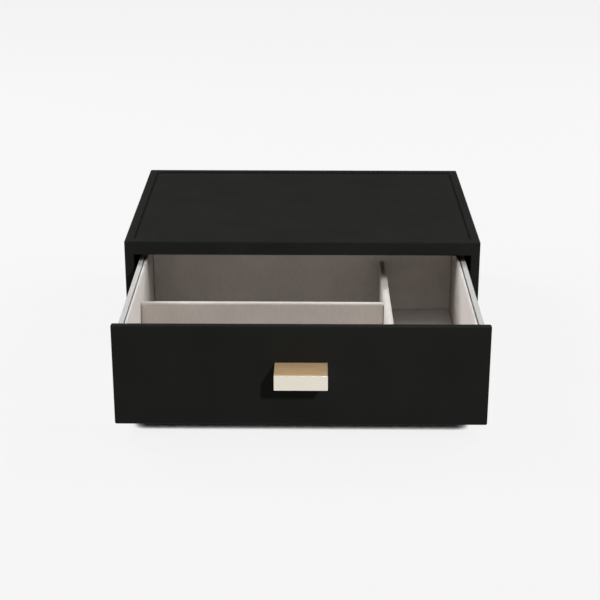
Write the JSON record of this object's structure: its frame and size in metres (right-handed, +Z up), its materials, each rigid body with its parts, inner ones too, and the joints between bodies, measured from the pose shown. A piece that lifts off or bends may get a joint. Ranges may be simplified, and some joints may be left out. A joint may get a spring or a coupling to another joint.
{
  "type": "cufflink box with drawer",
  "caption": "Low rectangular leatherette box with one inset pull-out drawer, velvet-lined compartments and a metal block pull, for cufflinks and small jewellery.",
  "frame": {"origin": "centre of the cabinet's underside, on the surface it stands on", "axes": "+X to the right seen from the front, +Y to the back (the drawer opens towards -Y), +Z up"},
  "size_m": [0.25, 0.3351, 0.085],
  "materials": {
    "leatherette": "fine-grained satin leatherette",
    "velvet": "short warm grey velvet",
    "grey_paper": "smooth grey covering paper",
    "carcass_board": "raw fibreboard",
    "bay_paper": "black lining paper",
    "felt": "black felt",
    "nylon": "low-friction strip",
    "gold_metal": "satin champagne plate",
    "steel": "zinc plated"
  },
  "bodies": {
    "cabinet": {"cabinet_wrap": "leatherette", "left_wall": "carcass_board", "right_wall": "carcass_board", "back_wall": "carcass_board", "base_board": "carcass_board", "front_rail": "carcass_board", "top_board": "carcass_board", "top_wrap": "leatherette", "top_cleats": "carcass_board", "bay_lining_left": "bay_paper", "bay_lining_right": "bay_paper", "bay_lining_back": "bay_paper", "bay_lining_floor": "bay_paper", "bay_lining_top": "bay_paper", "left_guide": "bay_paper", "right_guide": "bay_paper", "glide_strips": "nylon", "rear_bumpers": "felt", "base_felt": "felt"},
    "drawer": {"drawer_front_wrap": "leatherette", "drawer_front_board": "carcass_board", "tray_front": "grey_paper", "tray_back": "grey_paper", "tray_left": "grey_paper", "tray_right": "grey_paper", "tray_bottom": "grey_paper", "lining_left": "velvet", "lining_right": "velvet", "lining_front": "velvet", "lining_back": "velvet", "long_divider": "velvet", "cross_divider": "velvet", "floor_pad_right": "velvet", "floor_pad_rear_left": "velvet", "floor_pad_front_left": "velvet", "pull": "gold_metal", "pull_screws": "steel"}
  },
  "joints": [
    {"name": "drawer_slide", "type": "slide", "parent": "cabinet", "child": "drawer", "axis": [0, -1, 0], "range_m": [-0.1315, 0.025]}
  ]
}
